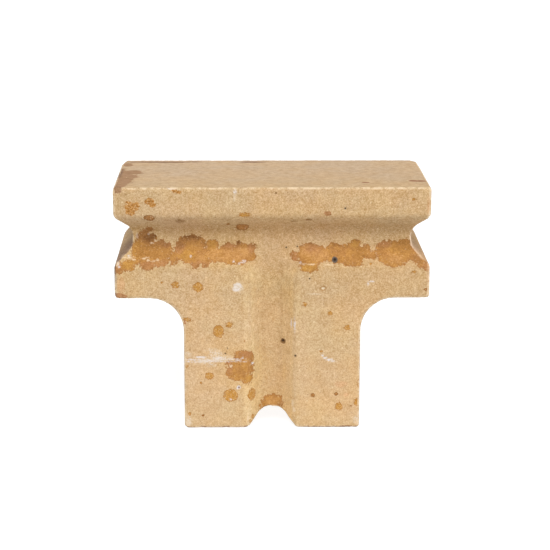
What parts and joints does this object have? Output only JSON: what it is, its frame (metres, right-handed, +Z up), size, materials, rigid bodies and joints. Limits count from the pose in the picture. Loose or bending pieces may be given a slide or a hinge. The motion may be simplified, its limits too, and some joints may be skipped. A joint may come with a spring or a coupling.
{
  "type": "hammerhead firebrick",
  "caption": "T-shaped refractory brick with a T-shaped groove on one bed face, its tongue on the other, grooved ends and rounded flue corners.",
  "frame": {"origin": "middle of the bounding box's underside, on the floor between the two feet of the stem", "axes": "+X along the head, +Y from the grooved bed face to the tongued one, +Z up to the chamber face"},
  "size_m": [0.278, 0.1536, 0.22],
  "materials": {
    "silica": "dry fired, buff with brown iron spots"
  },
  "bodies": {
    "root": {"brick": "silica"}
  },
  "joints": []
}
